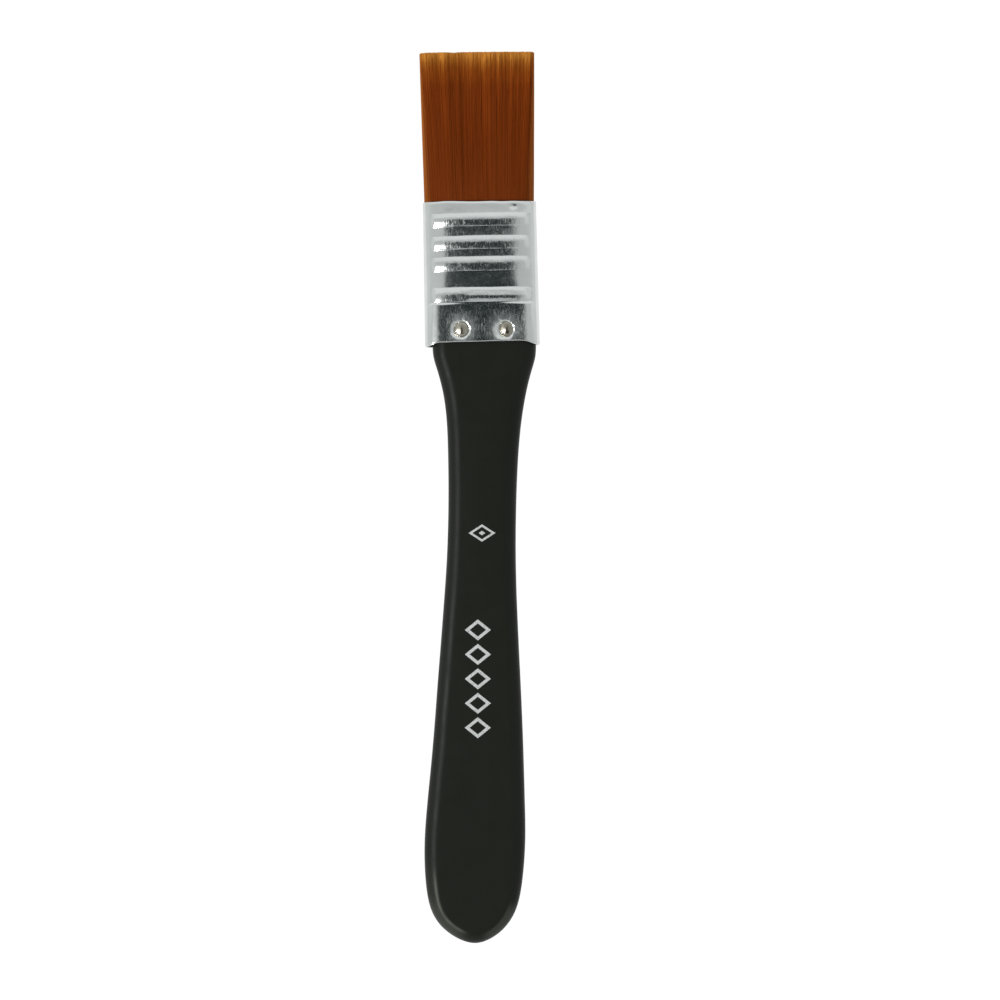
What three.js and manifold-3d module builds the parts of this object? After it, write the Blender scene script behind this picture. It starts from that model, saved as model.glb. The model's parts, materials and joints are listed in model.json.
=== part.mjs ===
// A flat varnish and wash brush, one inch wide.
//
// Units are millimetres. The brush lies on its back: +Y runs along it towards
// the tips of the tuft, +X across it to the right, +Z out of its front face.
// The origin is the centre of the bounding box in X and Y, at its lowest Z.
//
// The brush is drawn about a point on the ferrule's axis, level with the
// ferrule's handle end, and shifted to that origin at the end.

import * as THREE from 'three';
import { mergeVertices } from 'three/addons/utils/BufferGeometryUtils.js';
import Module from 'manifold-3d';

// ---------------------------------------------------------------- dimensions

const GAP = 0.3;                     // clearance between separate pieces
const HEAD_LEAN = THREE.MathUtils.degToRad(1.16); // ferrule's lean to the left

// ferrule: flattened tube of plated sheet metal
const FERRULE_LENGTH = 31.35;        // handle end to mouth, along the sides
const FERRULE_WALL = 0.4;
const FERRULE_HALF_WIDTH_HANDLE = 12.6;
const FERRULE_HALF_WIDTH_MOUTH = 12.43;
const FERRULE_HALF_DEPTH_HANDLE = 4.2;
const FERRULE_HALF_DEPTH_MOUTH = 3.6;
const FERRULE_TAPER_FROM = 9;        // parallel below this, tapering above it
const FERRULE_SECTION = [            // [along, exponent]: flat-sided around the
  [0, 4.4],                          // tenon, closer to an oval at the mouth
  [9, 4.4],
  [13, 2.8],
  [17, 2.35],
  [31.35, 2.3],
];
const FERRULE_FACE_SETBACK = 0.75;   // the faces end this far short of the sides
const BEAD_HEIGHT = 0.4;             // beads are pressed outwards
const BEAD_END_FROM = 9.5;           // beads fade out between these two
const BEAD_END_TO = 10.7;            // distances from the centre line
const BEADS = [                      // [centre along the ferrule, half width]
  [11.2, 1.58],
  [17.8, 1.64],
  [22.5, 1.52],
  [27.45, 1.48],
];

// nails: two through each face of the ferrule, heads seated in dimples
const NAIL_HEAD_RADIUS = 1.55;
const NAIL_HEAD_HEIGHT = 0.7;
const NAIL_SHANK_RADIUS = 0.45;
const NAIL_SHANK_LENGTH = 2.4;
const NAIL_HOLE_RADIUS = 0.75;
const DIMPLE_RADIUS = 2.1;
const DIMPLE_FLOOR_RADIUS = 1.75;
const DIMPLE_DEPTH = 0.5;
const NAILS = {                      // [across, along], facing 1 front, -1 back
  nail_front_left: [-4.46, 3.56, 1],
  nail_front_right: [5.41, 3.45, 1],
  nail_back_left: [-4.9, 3.5, -1],
  nail_back_right: [4.9, 3.5, -1],
};

// handle: a flat board, its edges rounded over, with a straight tenon
const HANDLE_HALF_THICKNESS = 3.4;
const HANDLE_ROUND_OVER = 3.0;
const TENON_LENGTH = 8.8;
const TENON_HALF_WIDTH = 11.3;
const TENON_OFFSET = 0.47;           // the tenon sits to the right of centre
const HANDLE_OUTLINE = [             // [below the ferrule, half width, centre]
  [2.2, 11.29, 0.47],
  [3.2, 11.0, 0.47],
  [4.5, 10.55, 0.48],
  [5.8, 10.14, 0.49],
  [8.5, 9.43, 0.51],
  [11.1, 8.88, 0.51],
  [13.8, 8.45, 0.47],
  [16.4, 8.14, 0.4],
  [19.0, 7.91, 0.33],
  [21.7, 7.75, 0.26],
  [24.3, 7.62, 0.19],
  [29.6, 7.45, 0.1],
  [34.9, 7.37, 0.01],
  [40.1, 7.37, -0.08],
  [45.4, 7.46, -0.18],
  [50.7, 7.65, -0.29],
  [56.0, 7.92, -0.4],
  [61.3, 8.23, -0.49],
  [66.5, 8.55, -0.57],
  [71.8, 8.89, -0.65],
  [77.1, 9.22, -0.73],
  [82.4, 9.53, -0.81],
  [87.7, 9.85, -0.93],
  [93.0, 10.17, -1.09],
  [98.2, 10.5, -1.28],
  [103.5, 10.81, -1.45],
  [107.5, 10.97, -1.57],
  [110.2, 10.97, -1.65],
  [112.8, 10.9, -1.72],
  [115.4, 10.74, -1.78],
  [118.0, 10.5, -1.83],
  [120.6, 10.14, -1.87],
  [122.9, 9.62, -1.91],
  [124.8, 8.9, -1.93],
  [126.4, 7.97, -1.93],
  [127.8, 6.82, -1.89],
  [129.0, 5.48, -1.81],
  [130.0, 3.95, -1.73],
  [130.8, 2.3, -1.66],
];
const HANDLE_TIP = [131.33, -1.6];   // [below the ferrule, across]

// inside the ferrule, measured up from its handle end
const RESIN_FROM = TENON_LENGTH + GAP;
const RESIN_TO = 11.6;
const ROOT_FROM = RESIN_TO + GAP;
const ROOT_TO = FERRULE_LENGTH - 0.1;
const SPACER = { from: 12.6, to: 24.2, halfWidth: 9.2, halfDepth: 0.8 };

// tuft outside the ferrule
const TUFT_LENGTH = 33.25;           // mouth of the ferrule to the tips
const TUFT_LEAN_BACK = 0.0075;       // leans this much less than the ferrule
const TUFT_HALF_WIDTH_MOUTH = 12.05;
const TUFT_HALF_WIDTH_TIP = 12.58;
const TUFT_HALF_DEPTH_MOUTH = 2.9;
const TUFT_HALF_DEPTH_TIP = 1.7;
const TUFT_EXPONENT_MOUTH = 2.4;     // oval at the mouth, squarer at the tips
const TUFT_EXPONENT_TIP = 4;
const HEEL_LENGTH = 3.3;             // the part that bends over the mouth
const TIP_CORNER = 0.5;              // trimmed corner at each end of the tips

// -------------------------------------------------------------------- solids

const wasm = await Module();
wasm.setup();

function toSolid(geometry) {
  const g = geometry.clone();
  g.deleteAttribute('normal');
  g.deleteAttribute('uv');
  const merged = mergeVertices(g, 1e-4);
  return new wasm.Manifold(new wasm.Mesh({
    numProp: 3,
    vertProperties: new Float32Array(merged.attributes.position.array),
    triVerts: new Uint32Array(merged.index.array),
  }));
}

function toGeometry(solid) {
  const mesh = solid.getMesh();
  const g = new THREE.BufferGeometry();
  g.setAttribute('position', new THREE.BufferAttribute(new Float32Array(mesh.vertProperties), 3));
  g.setIndex(new THREE.BufferAttribute(new Uint32Array(mesh.triVerts), 1));
  g.computeVertexNormals();
  return g;
}

const smooth = (a, b, v) => {
  const t = THREE.MathUtils.clamp((v - a) / (b - a), 0, 1);
  return t * t * (3 - 2 * t);
};

// straight lines between the rows of a table of [position, value]
function table(rows, at) {
  for (let i = 1; i < rows.length; i++) {
    const [a, va] = rows[i - 1];
    const [b, vb] = rows[i];
    if (at <= b) return va + (vb - va) * THREE.MathUtils.clamp((at - a) / (b - a), 0, 1);
  }
  return rows[rows.length - 1][1];
}

// a point on the oval |x / w|^n + |z / t|^n = 1
function oval(angle, w, t, n) {
  const c = Math.cos(angle);
  const s = Math.sin(angle);
  return [w * Math.sign(c) * Math.abs(c) ** (2 / n), t * Math.sign(s) * Math.abs(s) ** (2 / n)];
}

// the section that every oval loft starts from: a disc, or a ring with a hole
const OUTER = 2;
const INNER = 1.92;                  // a thin ring, so its end faces stay local
function disc(hole = false) {
  const shape = new THREE.Shape();
  shape.absarc(0, 0, OUTER, 0, 2 * Math.PI, false);
  if (hole) shape.holes.push(new THREE.Path().absarc(0, 0, INNER, 0, 2 * Math.PI, true));
  return shape;
}

// extrudes a section drawn in X and Z along Y, with rows at the given heights,
// then lets reshape(p, angle, isInner) move each point
function alongY(shape, rows, reshape) {
  const down = [...rows].sort((a, b) => b - a);   // so that the faces point out
  const g = new THREE.ExtrudeGeometry(shape, {
    depth: 1, steps: down.length - 1, bevelEnabled: false, curveSegments: 20,
  });
  g.rotateX(Math.PI / 2);            // section X, Y -> X, Z; extrusion -> -Y
  const pos = g.attributes.position;
  const p = new THREE.Vector3();
  for (let i = 0; i < pos.count; i++) {
    p.fromBufferAttribute(pos, i);
    p.y = down[Math.round(-p.y * (down.length - 1))];
    reshape(p, Math.atan2(p.z, p.x), Math.hypot(p.x, p.z) < (INNER + OUTER) / 2);
    pos.setXYZ(i, p.x, p.y, p.z);
  }
  return g;
}

// ------------------------------------------------------------------- ferrule

function ferruleHalfWidth(y) {
  return THREE.MathUtils.lerp(FERRULE_HALF_WIDTH_HANDLE, FERRULE_HALF_WIDTH_MOUTH,
    THREE.MathUtils.clamp(y / FERRULE_LENGTH, 0, 1));
}

function ferruleHalfDepth(y) {
  return THREE.MathUtils.lerp(FERRULE_HALF_DEPTH_HANDLE, FERRULE_HALF_DEPTH_MOUTH,
    THREE.MathUtils.clamp((y - FERRULE_TAPER_FROM) / (FERRULE_LENGTH - FERRULE_TAPER_FROM), 0, 1));
}

const ferruleExponent = (y) => table(FERRULE_SECTION, y);

// how far the plain face stands from the middle plane
function faceHeight(x, y) {
  const n = ferruleExponent(y);
  return ferruleHalfDepth(y) * (1 - Math.abs(x / ferruleHalfWidth(y)) ** n) ** (1 / n);
}

function beadHeight(x, y) {
  const across = 1 - smooth(BEAD_END_FROM, BEAD_END_TO, Math.abs(x));
  let h = 0;
  for (const [centre, half] of BEADS) {
    const d = Math.abs(y - centre) / half;
    if (d < 1) h = Math.max(h, BEAD_HEIGHT * Math.min(1, 1.1 * Math.cos(d * Math.PI / 2)));
  }
  return h * across;
}

function makeFerrule() {
  const rows = [0, 1.6, 5.2, FERRULE_TAPER_FROM];
  for (const [centre, half] of BEADS) {
    for (const s of [-1, -0.8, -0.5, 0, 0.5, 0.8, 1]) rows.push(centre + s * half);
  }
  rows.push(14.5, FERRULE_LENGTH);

  const wall = FERRULE_WALL;
  const tube = alongY(disc(true), rows, (p, angle, inner) => {
    const w = ferruleHalfWidth(p.y);
    const off = inner ? wall : 0;
    const [x, z] = oval(angle, w - off, ferruleHalfDepth(p.y) - off, ferruleExponent(p.y));
    p.x = x;
    p.z = z + Math.sign(z) * beadHeight(x, p.y);
    if (p.y < 0.5) p.y += FERRULE_FACE_SETBACK * (1 - smooth(0.72, 0.95, Math.abs(p.x) / w));
  });

  let solid = toSolid(tube);
  const cutters = [];
  const cups = [];
  for (const [x, y, facing] of Object.values(NAILS)) {
    const cut = new THREE.CylinderGeometry(DIMPLE_RADIUS, DIMPLE_RADIUS, 1.6, 24);
    cut.rotateX(Math.PI / 2);
    cut.translate(x, y, facing * faceHeight(x, y));
    cutters.push(cut);
    // a dished cup of the same sheet, joined to the wall around the hole
    const d = DIMPLE_DEPTH;
    const cup = new THREE.LatheGeometry([
      [NAIL_HOLE_RADIUS, -d - wall],
      [DIMPLE_FLOOR_RADIUS + 0.15, -d - wall],
      [DIMPLE_RADIUS + 0.25, -wall + 0.1],
      [DIMPLE_RADIUS + 0.25, -0.12],
      [DIMPLE_RADIUS - 0.02, -0.12],
      [DIMPLE_FLOOR_RADIUS, -d],
      [NAIL_HOLE_RADIUS, -d],
      [NAIL_HOLE_RADIUS, -d - wall],
    ].map(([r, h]) => new THREE.Vector2(r, h)), 24);
    cup.rotateX(facing * Math.PI / 2);
    cup.translate(x, y, facing * faceHeight(x, y));
    cups.push(cup);
  }
  for (const c of cutters) solid = solid.subtract(toSolid(c));
  for (const c of cups) solid = solid.add(toSolid(c));
  return toGeometry(solid);
}

// -------------------------------------------------------------------- handle

function makeHandle() {
  const r = HANDLE_ROUND_OVER;
  const lean = Math.tan(HEAD_LEAN);
  const left = HANDLE_OUTLINE.map(([d, w, c]) => new THREE.Vector2(c - w, -d));
  const right = HANDLE_OUTLINE.map(([d, w, c]) => new THREE.Vector2(c + w, -d)).reverse();
  const shape = new THREE.Shape();
  const topX = TENON_OFFSET - lean * TENON_LENGTH;   // the tenon leans with the ferrule
  shape.moveTo(topX - TENON_HALF_WIDTH, TENON_LENGTH - lean * TENON_HALF_WIDTH);
  shape.lineTo(left[0].x, left[0].y);
  shape.splineThru([...left.slice(1), new THREE.Vector2(HANDLE_TIP[1], -HANDLE_TIP[0]), ...right]);
  shape.lineTo(topX + TENON_HALF_WIDTH, TENON_LENGTH + lean * TENON_HALF_WIDTH);
  shape.closePath();
  const board = new THREE.ExtrudeGeometry(shape, {
    depth: 2 * (HANDLE_HALF_THICKNESS - r),
    steps: 1,
    curveSegments: 1,
    bevelEnabled: true,
    bevelThickness: r,
    bevelSize: r,
    bevelOffset: -r,
    bevelSegments: 6,
  });
  board.translate(0, 0, -(HANDLE_HALF_THICKNESS - r));
  let solid = toSolid(board);
  // seats for the dimples and holes driven by the nails
  for (const [x, y, facing] of Object.values(NAILS)) {
    const deep = NAIL_SHANK_LENGTH + 0.8;
    const seat = new THREE.LatheGeometry([
      [0, -deep],
      [NAIL_SHANK_RADIUS + GAP, -deep],
      [NAIL_SHANK_RADIUS + GAP, -0.45],
      [DIMPLE_FLOOR_RADIUS + 0.5, -0.45],
      [DIMPLE_RADIUS + 0.6, 0.4],
      [0, 0.4],
    ].map(([a, b]) => new THREE.Vector2(a, b)), 20);
    seat.rotateX(facing * Math.PI / 2);
    const px = x * Math.cos(HEAD_LEAN) - y * Math.sin(HEAD_LEAN);
    const py = x * Math.sin(HEAD_LEAN) + y * Math.cos(HEAD_LEAN);
    seat.translate(px, py, facing * HANDLE_HALF_THICKNESS);
    solid = solid.subtract(toSolid(seat));
  }
  return toGeometry(solid);
}

// --------------------------------------------------------------------- nails

function makeNail([x, y, facing]) {
  const R = NAIL_HEAD_RADIUS;
  const s = NAIL_SHANK_RADIUS;
  const H = NAIL_HEAD_HEIGHT;
  const L = NAIL_SHANK_LENGTH;
  const seat = -DIMPLE_DEPTH + 0.12;
  const profile = [
    [0, seat - L], [s, seat - L + 0.9], [s, seat], [R, seat], [R, seat + 0.1],
    ...[0.92, 0.78, 0.58, 0.34].map((r) => [R * r, seat + 0.1 + (H - 0.1) * Math.sqrt(1 - r * r)]),
    [0, seat + H],
  ].map(([a, b]) => new THREE.Vector2(a, b));
  const g = new THREE.LatheGeometry(profile, 24);
  g.rotateX(facing * Math.PI / 2);
  g.translate(x, y, facing * faceHeight(x, y));
  return g;
}

// ------------------------------------------------- inside the ferrule, tuft

function block(x, y0, y1, z0, z1) {
  const g = new THREE.BoxGeometry(2 * x, y1 - y0, z1 - z0);
  g.translate(0, (y0 + y1) / 2, (z0 + z1) / 2);
  return g;
}

function bundle(rows, halfWidth, halfDepth, exponent, offset = () => 0) {
  return alongY(disc(), rows, (p, angle) => {
    [p.x, p.z] = oval(angle, halfWidth(p.y), halfDepth(p.y), exponent(p.y));
    p.x += offset(p.y);
  });
}

const bank = (geometry, side) => {
  const keep = block(30, -10, 90, side > 0 ? GAP / 2 : -20, side > 0 ? 20 : -GAP / 2);
  return toSolid(geometry).intersect(toSolid(keep));
};

const insideWidth = (y) => ferruleHalfWidth(y) - FERRULE_WALL - GAP;
const insideDepth = (y) => ferruleHalfDepth(y) - FERRULE_WALL - GAP;

function makeResin() {
  return bundle([RESIN_FROM, RESIN_TO], insideWidth, insideDepth, ferruleExponent);
}

function makeRoot(side) {
  const g = bundle([ROOT_FROM, 13, 15, 17, ROOT_TO], insideWidth, insideDepth, ferruleExponent);
  const pocket = block(SPACER.halfWidth + GAP, SPACER.from - GAP, SPACER.to + GAP,
    -SPACER.halfDepth - GAP, SPACER.halfDepth + GAP);
  return toGeometry(bank(g, side).subtract(toSolid(pocket)));
}

const tuftU = (y) => (y - FERRULE_LENGTH) / TUFT_LENGTH;
const tuftHalfWidth = (y) => {
  const u = tuftU(y);
  const w = THREE.MathUtils.lerp(TUFT_HALF_WIDTH_MOUTH, TUFT_HALF_WIDTH_TIP, smooth(0, 1.05, u));
  return y > FERRULE_LENGTH + TUFT_LENGTH - 0.01 ? w - TIP_CORNER : w;
};
const tuftHalfDepth = (y) => THREE.MathUtils.lerp(TUFT_HALF_DEPTH_MOUTH, TUFT_HALF_DEPTH_TIP,
  smooth(-0.1, 1.05, tuftU(y)));
const tuftExponent = (y) => THREE.MathUtils.lerp(TUFT_EXPONENT_MOUTH, TUFT_EXPONENT_TIP, tuftU(y));
const tuftOffset = (y) => TUFT_LEAN_BACK * (y - FERRULE_LENGTH) - 0.05;

function makeHeel() {
  const y0 = FERRULE_LENGTH + 0.2;
  return bundle([y0, y0 + HEEL_LENGTH / 2, y0 + HEEL_LENGTH], tuftHalfWidth, tuftHalfDepth, tuftExponent,
    tuftOffset);
}

function makeBelly(side) {
  const y0 = FERRULE_LENGTH + 0.2 + HEEL_LENGTH + GAP;
  const y1 = FERRULE_LENGTH + TUFT_LENGTH;
  const rows = [y0, y0 + 6, y0 + 12, y0 + 18, y0 + 24, y1 - TIP_CORNER, y1];
  return toGeometry(bank(bundle(rows, tuftHalfWidth, tuftHalfDepth, tuftExponent, tuftOffset), side));
}

// ------------------------------------------------------------------ assembly

function piece(name, geometry, color, roughness, metalness) {
  const m = new THREE.Mesh(geometry, new THREE.MeshStandardMaterial({ color, roughness, metalness }));
  m.name = name;
  return m;
}

const brush = new THREE.Group();

const head = new THREE.Group();      // everything that leans with the ferrule
head.rotation.z = HEAD_LEAN;
brush.add(head);

head.add(piece('ferrule', makeFerrule(), 0xb9bfbd, 0.22, 1));
for (const [name, at] of Object.entries(NAILS)) {
  head.add(piece(name, makeNail(at), 0xc4c0ad, 0.3, 1));
}
head.add(piece('spacer_strip',
  block(SPACER.halfWidth, SPACER.from, SPACER.to, -SPACER.halfDepth, SPACER.halfDepth), 0xb58f62, 0.8, 0));
head.add(piece('resin_plug', makeResin(), 0x8a6a2c, 0.25, 0));
head.add(piece('bristle_root_front', makeRoot(1), 0x4a2410, 0.55, 0));
head.add(piece('bristle_root_back', makeRoot(-1), 0x4a2411, 0.55, 0));
head.add(piece('bristle_heel', makeHeel(), 0x5a2a10, 0.5, 0));
head.add(piece('bristle_belly_front', makeBelly(1), 0x6b3412, 0.5, 0));
head.add(piece('bristle_belly_back', makeBelly(-1), 0x6b3413, 0.5, 0));

brush.add(piece('handle', makeHandle(), 0x22231f, 0.35, 0));

brush.updateMatrixWorld(true);
const box = new THREE.Box3().setFromObject(brush, true);
brush.position.set(-(box.min.x + box.max.x) / 2, -(box.min.y + box.max.y) / 2, -box.min.z);
brush.updateMatrixWorld(true);

export default brush;
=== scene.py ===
import json
import math

import bpy
import numpy as np
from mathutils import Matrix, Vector, geometry


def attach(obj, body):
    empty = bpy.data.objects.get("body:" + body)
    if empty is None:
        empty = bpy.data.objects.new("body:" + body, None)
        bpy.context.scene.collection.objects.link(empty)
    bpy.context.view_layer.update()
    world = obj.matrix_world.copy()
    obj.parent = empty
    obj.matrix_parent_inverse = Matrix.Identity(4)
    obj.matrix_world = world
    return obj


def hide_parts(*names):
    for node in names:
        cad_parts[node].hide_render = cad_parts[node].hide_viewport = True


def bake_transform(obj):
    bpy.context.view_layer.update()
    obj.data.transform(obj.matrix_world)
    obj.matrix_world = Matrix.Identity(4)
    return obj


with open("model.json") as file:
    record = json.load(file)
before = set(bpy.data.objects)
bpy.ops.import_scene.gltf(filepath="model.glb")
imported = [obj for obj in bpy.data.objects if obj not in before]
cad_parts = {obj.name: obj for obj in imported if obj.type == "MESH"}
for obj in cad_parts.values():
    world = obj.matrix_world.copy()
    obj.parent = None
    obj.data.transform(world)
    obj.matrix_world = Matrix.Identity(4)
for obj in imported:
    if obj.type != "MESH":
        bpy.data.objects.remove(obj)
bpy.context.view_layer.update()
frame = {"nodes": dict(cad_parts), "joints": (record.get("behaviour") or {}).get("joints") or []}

MM = 0.001

# ------------------------------------------------------------------ the frame
# Head-local millimetres: the ferrule's axis is Y, its handle end is y = 0.

HINGE = next(j for j in frame["joints"] if j["name"] == "tuft_flex")
LEAN = math.atan2(HINGE["axis"][1], HINGE["axis"][0])
MOUTH = 31.35
ROT = np.array([[math.cos(LEAN), -math.sin(LEAN), 0],
                [math.sin(LEAN), math.cos(LEAN), 0],
                [0, 0, 1.0]])
ORIGIN = np.array(HINGE["pos_m"]) / MM - ROT @ np.array([0, MOUTH, 0.0])


def head(p):
    """Head-local mm to the row frame in metres."""
    return (np.asarray(p, float) @ ROT.T + ORIGIN) * MM


def board(p):
    """Handle-local mm, which doesn't lean, to the row frame in metres."""
    return (np.asarray(p, float) + ORIGIN) * MM


# ------------------------------------------------------------------- helpers

def smooth(a, b, v):
    t = np.clip((np.asarray(v, float) - a) / (b - a), 0, 1)
    return t * t * (3 - 2 * t)


def lattice(seed, size=256):
    return np.random.default_rng(seed).uniform(-1, 1, (size, size))


def noise2(x, y, seed=0):
    """Smooth value noise in two dimensions, about -1 to 1."""
    g = lattice(seed)
    n = g.shape[0]
    x, y = np.broadcast_arrays(np.asarray(x, float), np.asarray(y, float))
    xi, yi = np.floor(x).astype(int), np.floor(y).astype(int)
    fx, fy = x - xi, y - yi
    fx, fy = fx * fx * (3 - 2 * fx), fy * fy * (3 - 2 * fy)
    a, b = g[xi % n, yi % n], g[(xi + 1) % n, yi % n]
    c, d = g[xi % n, (yi + 1) % n], g[(xi + 1) % n, (yi + 1) % n]
    return (a * (1 - fx) + b * fx) * (1 - fy) + (c * (1 - fx) + d * fx) * fy


def make_mesh(name, co, faces, material, shade=True):
    """co in metres; faces is a list of index arrays, each of one polygon size."""
    me = bpy.data.meshes.new(name)
    co = np.ascontiguousarray(co, np.float32)
    me.vertices.add(len(co))
    me.vertices.foreach_set("co", co.ravel())
    faces = [np.asarray(f, np.int32) for f in faces if len(f)]
    loops = np.concatenate([f.ravel() for f in faces])
    totals = np.concatenate([np.full(len(f), f.shape[1], np.int32) for f in faces])
    starts = np.concatenate([[0], np.cumsum(totals)[:-1]]).astype(np.int32)
    me.loops.add(len(loops))
    me.loops.foreach_set("vertex_index", loops)
    me.polygons.add(len(totals))
    me.polygons.foreach_set("loop_start", starts)
    me.polygons.foreach_set("loop_total", totals)
    me.polygons.foreach_set("use_smooth", np.full(len(totals), shade))
    me.update(calc_edges=True)
    me.validate()
    me.materials.append(material)
    ob = bpy.data.objects.new(name, me)
    bpy.context.scene.collection.objects.link(ob)
    return ob


def attribute(ob, name, values):
    a = ob.data.attributes.new(name, "FLOAT", "POINT")
    a.data.foreach_set("value", np.ascontiguousarray(values, np.float32))


def grid_quads(rows, cols, wrap, base=0, flip=False):
    i = np.arange(rows - 1)[:, None]
    j = np.arange(cols if wrap else cols - 1)[None, :]
    k = (j + 1) % cols
    a, b = base + i * cols + j, base + i * cols + k
    c, d = base + (i + 1) * cols + k, base + (i + 1) * cols + j
    order = (a, d, c, b) if flip else (a, b, c, d)
    return np.stack([np.broadcast_to(q, (rows - 1, j.shape[1])) for q in order], -1).reshape(-1, 4)


# ------------------------------------------------------------ material nodes

class Nodes:
    """A small helper for building one material's node tree."""

    def __init__(self, name):
        self.mat = bpy.data.materials.new(name)
        self.mat.use_nodes = True
        self.t = self.mat.node_tree
        self.t.nodes.clear()
        self.out = self.t.nodes.new("ShaderNodeOutputMaterial")
        self.bsdf = self.t.nodes.new("ShaderNodeBsdfPrincipled")
        self.link(self.bsdf.outputs[0], self.out.inputs[0])

    def link(self, a, b):
        self.t.links.new(a, b)

    def node(self, kind, **props):
        n = self.t.nodes.new("ShaderNode" + kind)
        for k, v in props.items():
            setattr(n, k, v)
        return n

    def put(self, socket, value):
        if isinstance(value, bpy.types.NodeSocket):
            self.link(value, socket)
        else:
            socket.default_value = value

    def coords(self, scale=(1, 1, 1), turn=(0, 0, 0)):
        tc = self.node("TexCoord")
        m = self.node("Mapping")
        m.inputs["Scale"].default_value = scale
        m.inputs["Rotation"].default_value = turn
        self.link(tc.outputs["Object"], m.inputs["Vector"])
        return m.outputs[0]

    def attr(self, name):
        return self.node("Attribute", attribute_name=name).outputs["Fac"]

    def noise(self, vector, scale=1.0, detail=2.0, rough=0.5, distortion=0.0):
        n = self.node("TexNoise")
        self.put(n.inputs["Vector"], vector)
        n.inputs["Scale"].default_value = scale
        n.inputs["Detail"].default_value = detail
        n.inputs["Roughness"].default_value = rough
        n.inputs["Distortion"].default_value = distortion
        return n.outputs["Fac"]

    def cells(self, vector, scale=1.0, feature="F1", output="Distance", jitter=1.0):
        n = self.node("TexVoronoi", feature=feature)
        self.put(n.inputs["Vector"], vector)
        n.inputs["Scale"].default_value = scale
        n.inputs["Randomness"].default_value = jitter
        return n.outputs[output]

    def math(self, op, a, b=0.0, c=0.0, clamp=False):
        n = self.node("Math", operation=op, use_clamp=clamp)
        self.put(n.inputs[0], a)
        self.put(n.inputs[1], b)
        self.put(n.inputs[2], c)
        return n.outputs[0]

    def remap(self, value, a, b, c, d, clamp=True):
        n = self.node("MapRange", clamp=clamp)
        self.put(n.inputs["Value"], value)
        for k, v in (("From Min", a), ("From Max", b), ("To Min", c), ("To Max", d)):
            n.inputs[k].default_value = v
        return n.outputs[0]

    def ramp(self, value, stops):
        n = self.node("ValToRGB")
        self.put(n.inputs[0], value)
        e = n.color_ramp.elements
        while len(e) > 1:
            e.remove(e[-1])
        for i, (at, col) in enumerate(stops):
            el = e[0] if i == 0 else e.new(at)
            el.position = at
            el.color = (*col, 1) if len(col) == 3 else col
        return n.outputs["Color"]

    def mix(self, fac, a, b, blend="MIX"):
        n = self.node("Mix", data_type="RGBA", blend_type=blend)
        self.put(n.inputs["Factor"], fac)
        for s, v in ((n.inputs[6], a), (n.inputs[7], b)):
            self.put(s, (*v, 1) if isinstance(v, tuple) and len(v) == 3 else v)
        return n.outputs[2]

    def bump(self, height, distance, strength=1.0, normal=None):
        n = self.node("Bump")
        n.inputs["Strength"].default_value = strength
        n.inputs["Distance"].default_value = distance
        self.put(n.inputs["Height"], height)
        if normal is not None:
            self.link(normal, n.inputs["Normal"])
        return n.outputs[0]

    def set(self, **sockets):
        for k, v in sockets.items():
            name = k.replace("_", " ")
            s = self.bsdf.inputs[name]
            if isinstance(v, tuple) and len(v) == 3 and s.type == "RGBA":
                v = (*v, 1)
            self.put(s, v)
        return self.mat


def srgb(r, g, b):
    f = lambda c: c / 255 / 12.92 if c / 255 <= 0.04045 else ((c / 255 + 0.055) / 1.055) ** 2.4
    return (f(r), f(g), f(b))


def lacquer():
    n = Nodes("black_lacquer")
    at = n.coords()
    peel = n.noise(at, 900, 2.0, 0.5)                      # orange peel
    grain = n.noise(n.coords((1, 0.05, 1)), 1400, 3.0, 0.6)  # grain showing through
    lumps = n.noise(at, 130, 2.0, 0.5)
    dust = n.cells(at, 700)
    speck = n.remap(dust, 0.0, 0.07, 1.0, 0.0)
    tone = n.noise(n.coords((1, 0.35, 1)), 60, 3.0, 0.6)
    base = n.mix(n.remap(tone, 0.3, 0.7, 0, 1), (0.0092, 0.0104, 0.0078), (0.0110, 0.0122, 0.0094))
    base = n.mix(n.math("MULTIPLY", speck, 0.35), base, (0.035, 0.035, 0.032))
    # painted highlight: the base colour is lifted toward a light grey along a streak and a broad band on the butt's
    # bevel, standing in for a lamp's reflection there
    painted_highlight = n.math("MULTIPLY", n.attr("painted_highlight"), n.remap(lumps, 0.3, 0.7, 0.85, 1.10))
    base = n.mix(n.math("MINIMUM", painted_highlight, 1.0), base, (0.088, 0.096, 0.078))
    height = n.math("ADD", n.math("MULTIPLY", peel, 0.5), n.math("MULTIPLY", grain, 0.35))
    height = n.math("ADD", height, n.math("MULTIPLY", lumps, 1.8))
    height = n.math("ADD", height, n.math("MULTIPLY", speck, 0.5))
    rough = n.remap(n.noise(at, 220, 3.0, 0.6), 0.3, 0.7, 0.41, 0.50)
    return n.set(Base_Color=base, Roughness=rough, Specular_IOR_Level=0.10,
                 Normal=n.bump(height, 0.00003))


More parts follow.
